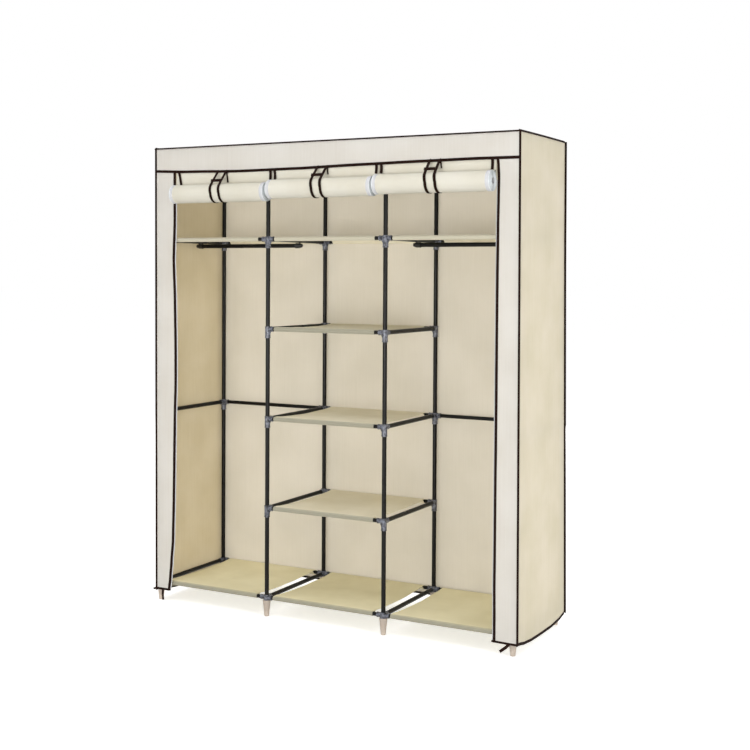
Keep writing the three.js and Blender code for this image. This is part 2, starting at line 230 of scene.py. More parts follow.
def piece(form, name, material, body=frame_body, stands_for=(), crease=35):
    """The finished mesh as an object: smooth but for its creases, on its body, in its finish."""
    bmesh.ops.recalc_face_normals(form, faces=form.faces)
    mesh = bpy.data.meshes.new(name)
    form.to_mesh(mesh)
    form.free()
    mesh.polygons.foreach_set("use_smooth", [True] * len(mesh.polygons))
    mesh.set_sharp_from_angle(angle=math.radians(crease))
    mesh.materials.append(material)
    made = bpy.data.objects.new(name, mesh)
    scene.collection.objects.link(made)
    if body:
        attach(made, body)
    if stands_for:
        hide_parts(*stands_for)
    return made


def mottled(name, dark, light, patches, relief, looks, contrast=None, shine=None):
    """A finish whose colour wanders in patches from dark to light. patches is their size in mm, detail
    and distortion. relief, where there is one, is its grain's size in mm, detail, height in mm and
    strength. contrast is the range of the patches that the two colours span, and shine is the
    roughness at their dark and at their light end."""
    made, tree = new_material(name)
    where = add_node(tree, "ShaderNodeTexCoord").outputs["Object"]
    size, detail, distortion = patches
    patch = {"Vector": where, "Scale": 1 / (size * MM), "Detail": detail, "Distortion": distortion}
    share = add_node(tree, "ShaderNodeTexNoise", patch).outputs["Fac"]
    if contrast:
        low, high = contrast
        spread = {"Value": share, "From Min": low, "From Max": high}
        share = add_node(tree, "ShaderNodeMapRange", spread).outputs["Result"]
    tones = {"Factor": share, "A": linear(dark), "B": linear(light)}
    shade = add_node(tree, "ShaderNodeMix", tones, data_type="RGBA")
    looks = {"Base Color": shade.outputs["Result"], **looks}
    if shine:
        low, high = shine
        sheen = {"Value": share, "From Min": 0.3, "From Max": 0.7, "To Min": low, "To Max": high}
        looks["Roughness"] = add_node(tree, "ShaderNodeMapRange", sheen).outputs["Result"]
    if relief:
        size, detail, height, strength = relief
        grain = {"Vector": where, "Scale": 1 / (size * MM), "Detail": detail}
        raised = add_node(tree, "ShaderNodeTexNoise", grain).outputs["Fac"]
        bump = {"Height": raised, "Distance": height * MM, "Strength": strength}
        looks["Normal"] = add_node(tree, "ShaderNodeBump", bump).outputs["Normal"]
    give_shader(tree, add_node(tree, "ShaderNodeBsdfPrincipled", looks))
    return made


# Powder coat: a baked skin, near black, half gloss, with a faint orange peel in its highlights
powder_coat = mottled(
    "black_powder_coat",
    "0B0B09",
    "151412",
    (70, 4.0, 0.0),
    (2.2, 2.0, 0.05, 0.5),
    {"IOR": 1.5, "Specular IOR Level": 0.14},
    shine=(0.26, 0.36),
)

for column, x in COLUMNS.items():
    outer = column.startswith("outer")
    stops = OUTER_LEVELS if outer else list(LEVELS)
    for row, y in ROWS.items():
        form = bmesh.new()
        joints = [upright_foot] + [LEVELS[level] - joint_drop for level in stops[1:-1]]
        joints.append(LEVELS["crown"] - crown_drop)
        for low, high in zip(joints, joints[1:]):
            tube(form, (x, y, low), (x, y, high - joint_gap))
        stands_for = ["ladder_" + column] if row == "front" else []
        piece(form, f"upright_{column}_{row}", powder_coat, stands_for=stands_for)
    form = bmesh.new()
    for level in stops[:-1]:
        depth_tube(form, x, LEVELS[level])
    piece(form, f"depth_tubes_{column}", powder_coat)
    if outer:
        way = 1 if x < 0 else -1
        form = bmesh.new()
        span = (tube_inset, bay_pitch - tube_inset)
        ends = [(x + way * s, ROWS["rear"], LEVELS["middle"]) for s in span]
        tube(form, *ends, cross_radius, cross_bore)
        piece(form, f"rear_brace_{column.removeprefix('outer_')}", powder_coat)

form = bmesh.new()
for y in ROWS.values():
    for bay in every_bay:
        cross_tube(form, bay, y, LEVELS["crown"])
for x in columns_in_order:
    depth_tube(form, x, LEVELS["crown"])
piece(form, "crown_tubes", powder_coat, stands_for=["crown_frame"])

# The connectors: sleeves with short arms that the tubes plug into. Injection-moulded plastic, dark
# grey, each mouth thickened by a collar, and each arm above the lowest ones stiffened by a web down
# to the sleeve.
sleeve_radius = 10.2
sleeve_rise = 10.0
sleeve_drop = 33.0
spigot_drop = 23.0  # of the lowest ones, which end in the feet
cap_height = 15.2  # of the top ones, which are closed
arm_radius = 9.0
arm_reach = 24.5
arm_floor = 12  # where an arm's socket ends, and a closed sleeve's below its arms
socket = 8.15
cross_socket = 7.15
collar = 0.8
web_half = 1.6


def sleeve(form, at, low, high, closed_top=False):
    """Adds an upright sleeve with a collar at each end, from low to high about its arms' height. A
    closed one has a rounded top in place of its upper collar."""
    x, y, z = at
    outer = sleeve_radius
    rim = [(outer, low), (outer + collar, low + 0.6), (outer + collar, low + 3.4), (outer, low + 4.2)]
    if closed_top:
        dome = [(outer, high - 1.6), (outer - 1.6, high), (0, high)]
        inside = [(0, -arm_floor), (socket, -arm_floor), (socket, low)]
        revolve(form, [*inside, *rim, *dome], (x, y, z), (0, 0, 1))
        return
    mouth = [(outer, high - 4.2), (outer + collar, high - 3.4)]
    mouth += [(outer + collar, high - 0.6), (outer, high)]
    revolve(form, [(socket, low), *rim, *mouth, (socket, high)], (x, y, z), (0, 0, 1), ring=True)


def skin(form, rings):
    """Joins each ring of points to the next one and closes both ends."""
    sides = len(rings[0])
    for one, other in zip(rings, rings[1:]):
        for i in range(sides):
            j = (i + 1) % sides
            form.faces.new([one[i], one[j], other[j], other[i]])
    form.faces.new(rings[0][::-1])
    form.faces.new(rings[-1])


def arm(form, at, way, webbed=True):
    """Adds an arm with its socket and its collar, pointing along way, with a small web under it."""
    way = Vector(way)
    proud = arm_radius + collar
    profile = [(0, 6), (arm_radius, 6), (arm_radius, arm_reach - 4), (proud, arm_reach - 3.4)]
    profile += [(proud, arm_reach - 0.6), (arm_radius, arm_reach)]
    bore = socket if way.x == 0 else cross_socket
    profile += [(bore, arm_reach), (bore, arm_floor), (0, arm_floor)]
    revolve(form, profile, at, way)
    if not webbed:
        return
    beside = way.cross(Vector((0, 0, 1)))
    middle = Vector(at)
    outline = [(9, -7), (15.5, -8.2), (14.8, -9.6), (10.6, -18), (9, -18)]
    faces = []
    for half in (-web_half, web_half):
        corners = [middle + way * a + beside * half + Vector((0, 0, b)) for a, b in outline]
        faces.append([form.verts.new(c * MM) for c in corners])
    skin(form, faces)


# Moulded polypropylene: satin, a cool dark grey, with light grey patches painted on as highlights
connector_plastic = mottled(
    "moulded_grey_polypropylene",
    "1D1E24",
    "6C6F7A",
    (9, 3.0, 0.6),
    (1.0, 1.0, 0.04, 0.4),
    {"Roughness": 0.3, "IOR": 1.49},
    contrast=(0.38, 0.6),
)

# The bays that have cross tubes at each level, counted from the left
CROSS_TUBES = {"bottom": [0, 1, 2], "lower": [1], "middle": [1], "upper": [1], "top": [0, 1, 2]}
column_names = list(COLUMNS)
for index, (column, x) in enumerate(COLUMNS.items()):
    stops = OUTER_LEVELS if column.startswith("outer") else list(LEVELS)
    for row, y in ROWS.items():
        inward = (0, 1, 0) if row == "front" else (0, -1, 0)
        for level in stops:
            z = LEVELS[level]
            bays = CROSS_TUBES.get(level, every_bay)
            if level == "middle" and row == "rear":
                # The braces of the outer bays end here too
                bays = every_bay
            form = bmesh.new()
            low = -spigot_drop if level == "bottom" else -sleeve_drop
            top = cap_height if level == "crown" else sleeve_rise
            sleeve(form, (x, y, z), low, top, closed_top=level == "crown")
            ways = [inward] + [(1, 0, 0)] * (index in bays) + [(-1, 0, 0)] * (index - 1 in bays)
            for way in ways:
                arm(form, (x, y, z), way, webbed=level != "bottom")
            piece(form, f"connector_{level}_{column}_{row}", connector_plastic)

# The cross tubes: the same coated tube, one for each bay along the front and the rear, which the
# shelves hang on. Each end sits 12 mm deep in a connector's arm.
bay_names = ["left", "centre", "right"]
for level, bays in CROSS_TUBES.items():
    for bay in bays:
        for row, y in ROWS.items():
            form = bmesh.new()
            cross_tube(form, bay, y, LEVELS[level])
            name = f"tube_{level}_{bay_names[bay]}_{row}"
            piece(form, f"cross_{name}", powder_coat, stands_for=[name])

# The feet: tapered cups pushed over the lowest connectors. Soft moulded polyethylene, milky, so that
# the dark end of the connector shows through at the rim.
milky = mottled(
    "milky_polyethylene",
    "CBBBAA",
    "DACDC0",
    (16, 3.0, 0.0),
    (16, 3.0, 0.1, 0.3),
    {"Roughness": 0.5, "IOR": 1.51, "Transmission Weight": 0.4},
)

# Radius and height in mm, up the outside and down into the cup
foot_profile = [(0, 0.6), (6.2, 0.6), (6.8, 0), (7.9, 0), (8.75, 0.9), (9.3, 5.5), (14.3, 53.5)]
foot_profile += [(15.0, 54.6), (15.0, 58.9), (14.2, 59.8), (11.4, 59.8), (10.6, 58.9)]
foot_profile += [(10.6, 46.7), (8.4, 46.7), (8.4, 20.0), (0, 20.0)]
for column, x in COLUMNS.items():
    for row, y in ROWS.items():
        form = bmesh.new()
        revolve(form, foot_profile, (x, y, 0), (0, 0, 1), sides=40)
        name = f"foot_{column}_{row}"
        piece(form, f"tapered_{name}", milky, stands_for=[name])

# The shelves: a cloth for each, cut from the cover's non-woven. Its front and rear edges are turned
# back and sewn into sleeves that the cross tubes slide through, and its side edges sag a little.
shelf_cloth = 0.9
shelf_insets = (30.5, 40.5)  # from the uprights' axes to its left and right edges
sleeve_seam = 16  # from a cross tube's axis to the sleeve's seam
sleeve_end = 22  # and to the end of the cloth turned back
tube_slack = 0.3  # between a cross tube and its sleeve
edge_draw = 8  # of the left edge, inwards between the tubes
edge_sag = 5.5  # of both side edges, below the middle


def wander(x, y, z, size, height):
    """A smooth wandering height, for waves of about that size, both in mm."""
    return noise.noise(Vector((x, y, z)) / size) * height


def cloth(form, surface, across, along, thickness):
    """Adds a closed sheet of cloth. surface gives its middle in mm for two shares from 0 to 1, and
    across and along are the counts of its squares."""
    middle = [
        [Vector(surface(i / across, j / along)) for j in range(along + 1)] for i in range(across + 1)
    ]
    sheets = []
    for side in (0.5, -0.5):
        sheet = []
        for i in range(across + 1):
            line = []
            for j in range(along + 1):
                a = middle[min(i + 1, across)][j] - middle[max(i - 1, 0)][j]
                b = middle[i][min(j + 1, along)] - middle[i][max(j - 1, 0)]
                out = a.cross(b).normalized() * thickness * side
                line.append(form.verts.new((middle[i][j] + out) * MM))
            sheet.append(line)
        sheets.append(sheet)
    over, under = sheets
    for i in range(across):
        for j in range(along):
            form.faces.new([over[i][j], over[i + 1][j], over[i + 1][j + 1], over[i][j + 1]])
            form.faces.new([under[i][j], under[i][j + 1], under[i + 1][j + 1], under[i + 1][j]])
    for i in range(across):
        for j in (0, along):
            form.faces.new([over[i][j], under[i][j], under[i + 1][j], over[i + 1][j]])
    for j in range(along):
        for i in (0, across):
            form.faces.new([over[i][j], over[i][j + 1], under[i][j + 1], under[i][j]])


def nonwoven(name, light, dark, emboss=1.0, streak=0.35, share=0.35, sleeve=None):
    """Spunbond polypropylene: matt, faintly cloudy where its fibres lie thicker, with fine streaks along
    the roll, soft creases and a stamped dot pattern. The real dots are 1 mm apart, and they are drawn at 3
    mm, as coarse as they need to be to show. A share of the light on its far side glows through it. sleeve
    is the colour of a painted shade on the front of the sleeve sewn round a black tube. It is partly the
    tube showing through the thin cloth and partly shade painted on that face."""
    made, tree = new_material(name)
    where = add_node(tree, "ShaderNodeTexCoord").outputs["Object"]
    cloud = {"Vector": where, "Scale": 1 / (150 * MM), "Detail": 3.0}
    clouds = add_node(tree, "ShaderNodeTexNoise", cloud).outputs["Fac"]
    drawn_out = {"Vector": where, "Scale": (1 / (14 * MM), 1 / (14 * MM), 1 / (900 * MM))}
    drawn = add_node(tree, "ShaderNodeMapping", drawn_out).outputs[0]
    streaks = add_node(tree, "ShaderNodeTexNoise", {"Vector": drawn, "Detail": 2.0}).outputs["Fac"]
    both = {"Factor": streak, "A": clouds, "B": streaks}
    cloudy = add_node(tree, "ShaderNodeMix", both, data_type="FLOAT").outputs["Result"]
    spread = {"Value": cloudy, "From Min": 0.36, "From Max": 0.64}
    thin = add_node(tree, "ShaderNodeMapRange", spread).outputs["Result"]
    tones = {"Factor": thin, "A": linear(dark), "B": linear(light)}
    shade = add_node(tree, "ShaderNodeMix", tones, data_type="RGBA").outputs["Result"]
    # Painted shade over the front sleeve, fading out behind the tube, which also stands for the dark tube
    # showing through
    if sleeve:
        y = add_node(tree, "ShaderNodeSeparateXYZ", {"Vector": where}).outputs["Y"]
        start, end = (ROWS["front"] - 7) * MM, (ROWS["front"] + 6) * MM
        fade = {"Value": y, "From Min": start, "From Max": end, "To Min": 1.0, "To Max": 0.0}
        painted_sleeve_shade = add_node(tree, "ShaderNodeMapRange", fade).outputs["Result"]
        tones = {"Factor": painted_sleeve_shade, "A": shade, "B": linear(sleeve)}
        shade = add_node(tree, "ShaderNodeMix", tones, data_type="RGBA").outputs["Result"]
    dot = {"Vector": where, "Scale": 1 / (3 * MM), "Randomness": 0.25}
    dots = add_node(tree, "ShaderNodeTexVoronoi", dot).outputs["Distance"]
    stamp = {"Height": dots, "Distance": 0.12 * MM, "Strength": 0.35 * emboss}
    stamped = add_node(tree, "ShaderNodeBump", stamp).outputs["Normal"]
    fold = {"Vector": where, "Scale": 1 / (55 * MM), "Detail": 3.0, "Distortion": 0.4}
    folds = add_node(tree, "ShaderNodeTexNoise", fold).outputs["Fac"]
    crease = {"Height": folds, "Distance": 2.5 * MM, "Strength": 0.35, "Normal": stamped}
    creased = add_node(tree, "ShaderNodeBump", crease).outputs["Normal"]
    looks = {
        "Base Color": shade,
        "Roughness": 0.9,
        "IOR": 1.46,
        "Specular IOR Level": 0.25,
        "Sheen Weight": 0.12,
        "Sheen Roughness": 0.5,
        "Normal": creased,
    }
    fleece = add_node(tree, "ShaderNodeBsdfPrincipled", looks)
    glow = add_node(tree, "ShaderNodeBsdfTranslucent", {"Color": shade, "Normal": creased})
    layers = {0: share, 1: fleece.outputs[0], 2: glow.outputs[0]}
    give_shader(tree, add_node(tree, "ShaderNodeMixShader", layers))
    return made


# Each shelf cloth is a copy of one cloth. sleeve is the colour of the painted shade on the front of its
# sleeve
shelf_looks = {"streak": 0.1, "share": 0.06, "sleeve": "9A9684"}
plain_fleece = nonwoven("shelf_nonwoven_cloth", "F6EFD8", "ECE4C9", **shelf_looks)
SHELF_FLEECES = {
    # The bottom shelves' copy is tinted warmer: painted light
    "bottom": nonwoven("shelf_nonwoven_warm_painted_light_cloth", "F6EEC8", "ECE3BA", **shelf_looks),
    "lower": plain_fleece,
    "middle": plain_fleece,
    # The upper shelves' copy is darker: painted shade under the header and the rolls
    "upper": nonwoven("shelf_nonwoven_painted_shade_cloth", "DCD6C0", "D3CCB2", **shelf_looks),
}
# The top shelves' sleeves are seen from below where more light falls, so their painted shade is lighter
shelf_looks["sleeve"] = "BEB8A3"
SHELF_FLEECES["top"] = nonwoven("shelf_nonwoven_lighter_sleeve_shade_cloth", "F6EFD8", "ECE4C9", **shelf_looks)


def shelf_line():
    """The shelf's path in Y and Z about its tubes' height: round the front tube, over, round the rear."""
    around = cross_radius + tube_slack + shelf_cloth / 2
    turned_back = [(sleeve_end, around - shelf_cloth - 0.1), (sleeve_seam, around - 1.9)]
    line = [(ROWS["front"] + inwards, z) for inwards, z in turned_back]
    for turn in range(-50, -271, -20):
        t = math.radians(turn)
        line.append((ROWS["front"] + around * math.cos(t), around * math.sin(t)))
    steps = 22
    for i in range(1, steps):
        line.append((ROWS["front"] + (ROWS["rear"] - ROWS["front"]) * i / steps, around))
    for turn in range(90, -131, -20):
        t = math.radians(turn)
        line.append((ROWS["rear"] + around * math.cos(t), around * math.sin(t)))
    line += [(ROWS["rear"] - inwards, z) for inwards, z in turned_back[::-1]]
    return [Vector((0, y, z)) for y, z in line]


shelf_path = shelf_line()
flat_depth = ROWS["rear"] - ROWS["front"] - 2 * sleeve_end
for level, bays in CROSS_TUBES.items():
    for bay in bays:
        left = columns_in_order[bay] + shelf_insets[0]
        right = columns_in_order[bay + 1] - shelf_insets[1]
        z = LEVELS[level]
        sag = 1.8 if bay == 1 else 2.4

        def surface(i, j, left=left, right=right, z=z, sag=sag, seed=bay * 7 + z):
            point = shelf_path[round(j * (len(shelf_path) - 1))]
            inside = (point.y - ROWS["front"] - sleeve_end) / flat_depth
            x = left + (right - left) * i + edge_draw * (1 - i) * max(0, min(1, inside))
            fall = 0
            if 0 < inside < 1 and point.z > 4:
                slack = math.sin(math.pi * inside) ** 0.6
                waves = wander(x, point.y, seed, 60, 1.6)
                fall = slack * (sag + edge_sag * abs(2 * i - 1) ** 5 + waves)
            return x, point.y, z + point.z - fall

        form = bmesh.new()
        cloth(form, surface, 22, len(shelf_path) - 1, shelf_cloth)
        side = bay_names[bay]
        name = f"shelf_{level}_{side}"
        fleece = SHELF_FLEECES[level]
        made = piece(form, f"cloth_{name}", fleece, stands_for=[name], crease=60)

# The hanging rods and their hooks: a length of the same tube whose ends sit in the cups of two
# moulded hooks. Each hook clips over a depth tube under the top shelf and slides along it.
rod_drop = 18.6  # of its axis below the depth tubes' axis
rod_y = (ROWS["front"] + ROWS["rear"]) / 2 + 25
rod_inset = 6.3  # from a depth tube's axis to the rod's end
hook_radius = 9.6  # round the depth tube, to the middle of the strip
hook_width = 14
hook_strip = 2.4
# Moulded polypropylene again, black, with a low gloss broken by shallow waves
hook_plastic = mottled(
    "moulded_black_polypropylene",
    "151513",
    "2C2C2B",
    (9, 3.0, 0.0),
    (9, 3.0, 0.2, 0.4),
    {"Roughness": 0.35, "IOR": 1.49, "Specular IOR Level": 0.3},
)
for side, (left, right) in {"left": (0, 1), "right": (2, 3)}.items():
    z = LEVELS["top"]
    body = f"rod_{side}"
    ends = [columns_in_order[left] + rod_inset, columns_in_order[right] - rod_inset]
    form = bmesh.new()
    tube(form, (ends[0], rod_y, z - rod_drop), (ends[1], rod_y, z - rod_drop))
    name = f"hanging_rod_{side}"
    piece(form, f"coated_{name}", powder_coat, body, [name])
    for index, way in ((left, 1), (right, -1)):
        x = columns_in_order[index]
        form = bmesh.new()
        strap = []
        for turn in range(-60, 201, 10):
            t = math.radians(turn)
            strap.append((way * math.cos(t), math.sin(t)))

        def surface(i, j, x=x, z=z, strap=strap):
            a, b = strap[round(j * (len(strap) - 1))]
            narrow = 1 - 0.25 * abs(2 * j - 1) ** 4
            return x + a * hook_radius, rod_y + (i - 0.5) * hook_width * narrow, z + b * hook_radius

        cloth(form, surface, 6, len(strap) - 1, hook_strip)
        cup = [(0, -5), (5.6, -5), (6.6, -4), (9.9, 8), (9.9, 20.4), (10.4, 21.2), (10.4, 23.4)]
        cup += [(9.9, 24), (8.35, 24), (8.35, 6), (0, 6)]
        revolve(form, cup, (x, rod_y, z - rod_drop), (way, 0, 0))
        name = f"rod_hook_{column_names[index]}"
        piece(form, f"moulded_{name}", hook_plastic, body, [name])

# The cover: non-woven panels sewn into a box without a bottom and pulled down over the frame, so
# its edges lean a little and its hems droop. The header is the strip across the front.
cloth_thickness = 1.4
half_width = 749.3
front_y = -188.45
depth = 449.6
cover_top = 1752.6
hem_height = 43.0


def blend_between(table, at):
    """The value at a place, smoothly between the rows of a table of (place, value)."""
    if at <= table[0][0]:
        return table[0][1]
    for (a, first), (b, second) in zip(table, table[1:]):
        if at <= b:
            share = (at - a) / (b - a)
            share = share * share * (3 - 2 * share) * 0.5 + share * 0.5
            return first + (second - first) * share
    return table[-1][1]


def leaning(x, y, z):
    """A point of the straight cover, moved to where the hung cloth has it. All in mm."""
    up = (z - hem_height) / (cover_top - hem_height)
    right = (x / half_width + 1) / 2
    back = (y - front_y) / depth
    # Its sides lean to the left as they rise, and the right one's lower rear corner hangs out
    dx = (1 - right) * (3.0 - 8.0 * up) + right * (2.7 - 4.3 * up)
    dy = back * (-2.0 * up + right * 21.0 * max(1 - up * 1.25, 0) ** 1.3)
    # The right flap's lower inner corner lies a little back, where the right roll comes to rest
    if x > 0:
        dy += (1 - back) * 2.9 * max(0, min(1, (712 - x) / 35)) * max(0, min(1, (220 - z) / 80))
    # The top's edges sink between the frame's corners, most at the front right
    rise = 3.6 * back * (2 - back)
    dz = -(1.2 + (2.6 - rise) * right) * max(up, 0) ** 6
    return x + dx, y + dy, z + dz


def rippled(x, y, z, normal, size, height, hold):
    """A leaning point pushed along its panel's normal by the cloth's waves, of a size and a height in
    mm. hold is the share of them that shows there."""
    push = wander(x, y, z * 0.45, size, height) + wander(x + 400, y, z * 0.6, size * 0.33, height * 0.4)
    x, y, z = leaning(x, y, z)
    return tuple(Vector((x, y, z)) + Vector(normal) * push * hold)


def edge_hold(*shares):
    """0 at a panel's edges and 1 a little way in, for shares across and along it."""
    held = 1.0
    for share in shares:
        held *= min(1.0, 8 * share, 8 * (1 - share))
    return held


# The same cloth all round, in tones of painted light and shade for the front, the sides and the back,
# where more light glows through it
cover_fleece = nonwoven("cream_nonwoven_cloth", "E6E3DD", "E0DCD4")
side_fleece = nonwoven("cream_nonwoven_side_cloth", "F5EEDD", "ECE5CF")
left_fleece = nonwoven("cream_nonwoven_left_cloth", "EBE2CC", "E3D9BF", share=0.5)
lining_fleece = nonwoven("cream_nonwoven_back_cloth", "E1DCD1", "DBD6CA", share=0.55)

inner_half = half_width - cloth_thickness / 2
back_top = cover_top - 2
header_top = cover_top - 1.5
flap_top = 1662


def back_panel(i, j):
    x = -inner_half + 2 * inner_half * i
    z = hem_height + (back_top - hem_height) * j
    y = front_y + depth - cloth_thickness / 2
    return rippled(x, y, z, (0, 1, 0), 300, 3.0, edge_hold(i, j))


def top_panel(i, j):
    x = -inner_half + 2 * inner_half * i
    y = front_y + cloth_thickness / 2 + (depth - cloth_thickness) * j
    return leaning(x, y, cover_top - cloth_thickness / 2)


# Height of the sides' hem at shares of the way from front to rear
SIDE_HEM = [(0, 42), (0.05, 40), (0.16, 31), (0.3, 25.5), (0.48, 23), (0.7, 22), (0.87, 27), (1, 37)]


def side_panel(way):
    def surface(i, j):
        y = front_y + depth * i
        low = blend_between(SIDE_HEM, i)
        z = low + (cover_top - low) * j
        x = way * inner_half
        return rippled(x, y, z, (way, 0, 0), 220, 2.6, edge_hold(i, j) * (0.6 + 0.4 * j))

    return surface


# Height of the header's hem at places along X
HEADER_HEM = [(-750, 1664), (-600, 1658.2), (-360, 1653), (-98, 1654.5), (150, 1659.2), (400, 1662.2)]
HEADER_HEM += [(600, 1663.7), (750, 1662.5)]


def header_panel(i, j):
    x = -inner_half + 2 * inner_half * i
    low = blend_between(HEADER_HEM, x)
    z = low + (header_top - low) * j
    y = front_y + cloth_thickness / 2
    return rippled(x, y, z, (0, 1, 0), 240, 1.6, edge_hold(i) * min(1, 4 * (1 - j)))


# Widths of the flaps at heights
LEFT_FLAP = [(43, 64), (52, 64), (84, 69), (162, 76), (240, 83), (396, 87), (512, 89), (705, 92)]
LEFT_FLAP += [(860, 96.5), (975, 96.5), (1168, 93.5), (1321, 88), (1475, 93), (1664, 93)]
RIGHT_FLAP = [(43, 81.5), (150, 81), (400, 79.4), (900, 77.2), (1200, 76), (1450, 74), (1522, 72.5)]
RIGHT_FLAP += [(1600, 71.5), (1640, 73.5), (1664, 76)]


def flap_edge(way, z):
    """X of a flap's inner edge at a height, on the straight cover."""
    widths = LEFT_FLAP if way < 0 else RIGHT_FLAP
    return way * (half_width - blend_between(widths, z))


def flap_panel(way):
    def surface(i, j):
        outer = way * inner_half
        z = hem_height + (flap_top - hem_height) * j
        x = outer + (flap_edge(way, z) - outer) * i
        y = front_y + cloth_thickness / 2
        return rippled(x, y, z, (0, 1, 0), 200, 2.0, min(1, 6 * i, 6 * (1 - j)) * (0.4 + 0.6 * j))

    return surface


# Each panel: its surface with the squares across and along it, its cloth, the solid it stands for,
# its flat size in metres, how it is held and what it rests on
crown_corners = ["connector_crown_inner_left_front", "connector_crown_outer_right_rear"]
top_edge = ["cover_panel_top"]
under_header = ["cover_panel_header"]
side_flat = (0.4496, 1.72)
PANELS = {
    "back": (back_panel, 60, 64, lining_fleece, ["cover_back"], (1.4986, 1.71), "hung", top_edge),
    "top": (top_panel, 48, 14, cover_fleece, ["cover_top"], (1.4986, 0.4496), "laid", crown_corners),
    "side_left": (side_panel(-1), 20, 64, left_fleece, ["cover_side_left"], side_flat, "hung", top_edge),
    "side_right": (side_panel(1), 20, 64, side_fleece, ["cover_side_right"], side_flat, "hung", top_edge),
    "header": (header_panel, 90, 8, cover_fleece, ["cover_front"], (1.4986, 0.095), "hung", top_edge),
    "flap_left": (flap_panel(-1), 8, 90, cover_fleece, [], (0.09, 1.62), "hung", under_header),
    "flap_right": (flap_panel(1), 8, 90, cover_fleece, [], (0.08, 1.62), "hung", under_header),
}
panels = {}
for name, (surface, across, along, fleece, stands_for, *_) in PANELS.items():
    form = bmesh.new()
    cloth(form, surface, across, along, cloth_thickness)
    panels[name] = piece(
        form, f"cover_panel_{name}", fleece, stands_for=stands_for, crease=60
    )

# The binding: dark brown woven tape, folded over each raw edge and sewn down. At the corners of the
# box it closes the seam between two panels, and stands proud as a narrow welt.
# Woven polyester, dull and nearly black, a little faded in places. The ribs of a grosgrain are
# 0.5 mm apart, and are drawn at 1.5 mm, as fine as they can show.
tape_cloth = mottled(
    "dark_woven_binding_tape",
    "140704",
    "210F08",
    (90, 2.0, 0.0),
    (1.5, 1.0, 0.2, 0.6),
    {"Roughness": 0.8, "IOR": 1.5, "Specular IOR Level": 0.1},
)


def ribbon(form, points, facing, width, thickness):
    """Adds a tape with soft edges along a line of points in mm. facing is the way its face looks, one
    vector for the whole line or one for each point."""
    points = [Vector(p) for p in points]
    rings = []
    section = []
    sides = 10
    soft = 0.55
    for turn in range(sides):
        t = 2 * math.pi * (turn + 0.5) / sides
        a, b = math.cos(t), math.sin(t)
        section.append((math.copysign(abs(a) ** soft, a) * width / 2, math.copysign(abs(b) ** soft, b)))
    for i, point in enumerate(points):
        way = (points[min(i + 1, len(points) - 1)] - points[max(i - 1, 0)]).normalized()
        face = Vector(facing[i] if isinstance(facing, list) else facing)
        face = (face - way * face.dot(way)).normalized()
        beside = way.cross(face)
        ring = [point + beside * a + face * b * thickness / 2 for a, b in section]
        rings.append([form.verts.new(p * MM) for p in ring])
    skin(form, rings)


def straight(start, end, count):
    """Points evenly along a straight line, both ends included."""
    return [Vector(start).lerp(Vector(end), i / count) for i in range(count + 1)]


def hung(points, push=(0, 0, 0)):
    """A line of the straight cover, moved with the hung cloth and then by push."""
    return [Vector(leaning(*p)) + Vector(push) for p in points]


side_hem = [(front_y + depth * i / 40, blend_between(SIDE_HEM, i / 40)) for i in range(41)]
places = [-half_width + 2 * half_width * i / 100 for i in range(101)]
header_hem = [(x, front_y - 0.3, blend_between(HEADER_HEM, x)) for x in places]
flap_lines = {}
for way in (-1, 1):
    heights = [hem_height + (flap_top - 2 - hem_height) * i / 90 for i in range(91)]
    flap_lines[way] = [(flap_edge(way, z), front_y, z) for z in heights]
welt = 2.6


def box_edge(start, end, count, push=(0, 0, 0)):
    """An edge of the straight cover from start to end, pushed by push in mm. Both are (x, y, z), where
    x is -1 at its left side and 1 at its right, y is 0 at its front and 1 at its rear, and z is mm."""
    corners = [(x * half_width, front_y + y * depth, z) for x, y, z in (start, end)]
    return [p + Vector(push) for p in straight(*corners, count)]


def flap_hem(way, z, count=8):
    """A flap's lower edge at a height, from its outer to its inner corner."""
    return straight((way * half_width, front_y, z), (flap_edge(way, hem_height), front_y, z), count)


